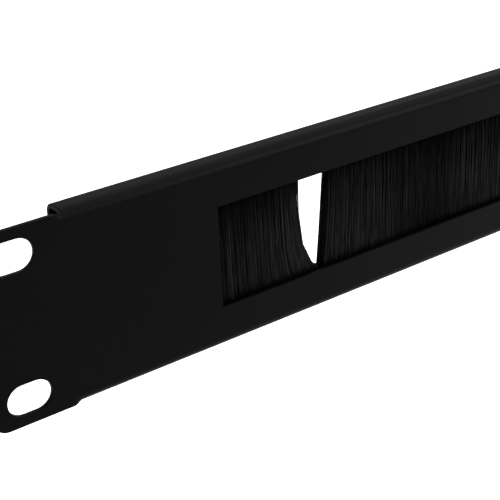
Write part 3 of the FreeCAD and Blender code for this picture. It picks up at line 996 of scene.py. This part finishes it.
class BRUSHPANEL_OT_studio(bpy.types.Operator):
    """Sets the floor, the lamps and the camera"""

    bl_idname = "brushpanel.studio"
    bl_label = "Studio"

    WHITE = (1.0, 1.0, 1.0, 1.0)
    FLOOR_REACH = 6.0
    FLOOR_ROUGHNESS = 0.9
    FLOOR_LIFT = 0.85
    SENSOR_WIDTH = 36.0
    CLIP_START = 1.0 * MM
    # Place, point that it is aimed at and size of each lamp.
    LAMPS = {
        "top_lamp": ((0.40, -0.20, 0.85), (-0.1, 0.0, 0.0), (0.9, 0.6)),
        "left_lamp": ((0.08, -0.35, 0.80), (-0.15, 0.0, 0.0), (0.5, 0.4)),
        "rear_lamp": ((0.05, 0.35, 0.75), (-0.15, 0.0, 0.0), (0.5, 0.4)),
        "front_lamp": ((0.48, -0.70, 0.40), (-0.1, 0.0, 0.0), (0.45, 0.45)),
    }

    def floor(self, studio):
        """Pale floor, white where no shadow falls."""
        nodes = Nodes("pale_floor")
        grain = nodes.noise(waves=60.0, detail=3.0)
        tint = nodes.shade(chosen("finishes").floor, nodes.range(grain, low=0.99, high=1.01))
        lift = nodes.range(seen_directly(nodes.tree), low=0.0, high=self.FLOOR_LIFT)
        nodes.surface(Base_Color=tint, Roughness=self.FLOOR_ROUGHNESS, Specular_IOR_Level=0.0,
                      Emission_Color=self.WHITE, Emission_Strength=lift)
        level = PANEL_LOW.z - studio.floor_drop
        reach = self.FLOOR_REACH
        corners = [(x * reach, y * reach, level) for x, y in ((-1, -1), (1, -1), (1, 1), (-1, 1))]
        mesh = bpy.data.meshes.new("floor")
        mesh.from_pydata(corners, [], [(0, 1, 2, 3)])
        mesh.materials.append(nodes.material)
        new_object("floor", mesh)

    def world(self, studio):
        """Even light all round that looks white."""
        world = bpy.data.worlds.new("studio")
        bpy.context.scene.world = world
        world.use_nodes = True
        tree = world.node_tree
        background = tree.nodes["Background"]
        background.inputs["Color"].default_value = self.WHITE
        strength = tree.nodes.new("ShaderNodeMapRange")
        strength.inputs["To Min"].default_value = studio.world_light
        strength.inputs["To Max"].default_value = 1.0
        tree.links.new(seen_directly(tree), strength.inputs["Value"])
        tree.links.new(strength.outputs["Result"], background.inputs["Strength"])

    def lamp(self, name, place, target, size, watts):
        """Soft lamp aimed at a point."""
        data = bpy.data.lights.new(name, "AREA")
        data.shape = "RECTANGLE"
        data.size, data.size_y = size
        data.energy = watts
        lamp = new_object(name, data)
        lamp.location = place
        aim = Vector(target) - Vector(place)
        lamp.rotation_euler = aim.to_track_quat("-Z", "Y").to_euler()

    def camera(self, studio):
        """Camera at the photograph's place."""
        yaw, pitch, roll = studio.camera_yaw, studio.camera_pitch, studio.camera_roll
        ahead = Vector((math.sin(yaw) * math.cos(pitch), math.cos(yaw) * math.cos(pitch),
                        -math.sin(pitch)))
        level_right = Vector((math.cos(yaw), -math.sin(yaw), 0.0))
        level_up = level_right.cross(ahead)
        right = level_right * math.cos(roll) + level_up * math.sin(roll)
        up = level_up * math.cos(roll) - level_right * math.sin(roll)
        turn = Matrix((right, up, -ahead)).transposed()
        data = bpy.data.cameras.new("camera")
        data.lens = studio.camera_lens
        data.sensor_width = self.SENSOR_WIDTH
        data.clip_start = self.CLIP_START
        camera = new_object("camera", data)
        camera.matrix_world = Matrix.Translation(studio.camera_place) @ turn.to_4x4()
        bpy.context.scene.camera = camera

    def execute(self, context):
        studio = chosen("studio")
        self.floor(studio)
        self.world(studio)
        for name, (place, target, size) in self.LAMPS.items():
            self.lamp(name, place, target, size, getattr(studio, name))
        self.camera(studio)
        context.scene.view_settings.view_transform = "Standard"
        return {"FINISHED"}


class BRUSHPANEL_PT_sidebar(bpy.types.Panel):
    """Lists the steps and their sizes"""

    bl_label = "Brush Panel"
    bl_idname = "BRUSHPANEL_PT_sidebar"
    bl_space_type = "VIEW_3D"
    bl_region_type = "UI"
    bl_category = "Brush Panel"

    STEPS = (
        ("sheet", (BRUSHPANEL_OT_folded_sheet,)),
        ("brush", (BRUSHPANEL_OT_brush_channel, BRUSHPANEL_OT_core_wire,
                   BRUSHPANEL_OT_filaments)),
        ("finishes", ()),
        ("studio", (BRUSHPANEL_OT_studio,)),
    )

    def draw(self, context):
        for group, operators in self.STEPS:
            box = self.layout.box()
            settings = chosen(group)
            for name in settings.__annotations__:
                box.prop(settings, name)
            for operator in operators:
                box.operator(operator.bl_idname)


GROUPS = {"sheet": SheetSizes, "brush": BrushSizes, "finishes": Finishes, "studio": Studio}
OPERATORS = (
    BRUSHPANEL_OT_folded_sheet,
    BRUSHPANEL_OT_brush_channel,
    BRUSHPANEL_OT_core_wire,
    BRUSHPANEL_OT_filaments,
    BRUSHPANEL_OT_studio,
)


def register():
    for name, group in GROUPS.items():
        bpy.utils.register_class(group)
        setattr(bpy.types.Scene, "brush_panel_" + name, PointerProperty(type=group))
    for operator in OPERATORS:
        bpy.utils.register_class(operator)
    bpy.utils.register_class(BRUSHPANEL_PT_sidebar)


def unregister():
    bpy.utils.unregister_class(BRUSHPANEL_PT_sidebar)
    for operator in reversed(OPERATORS):
        bpy.utils.unregister_class(operator)
    for name, group in GROUPS.items():
        delattr(bpy.types.Scene, "brush_panel_" + name)
        bpy.utils.unregister_class(group)


def main():
    """Builds every piece and the studio."""
    register()
    bpy.ops.brushpanel.folded_sheet()
    bpy.ops.brushpanel.brush_channel()
    bpy.ops.brushpanel.core_wire()
    bpy.ops.brushpanel.filaments()
    bpy.ops.brushpanel.studio()


if __name__ == "__main__":
    main()
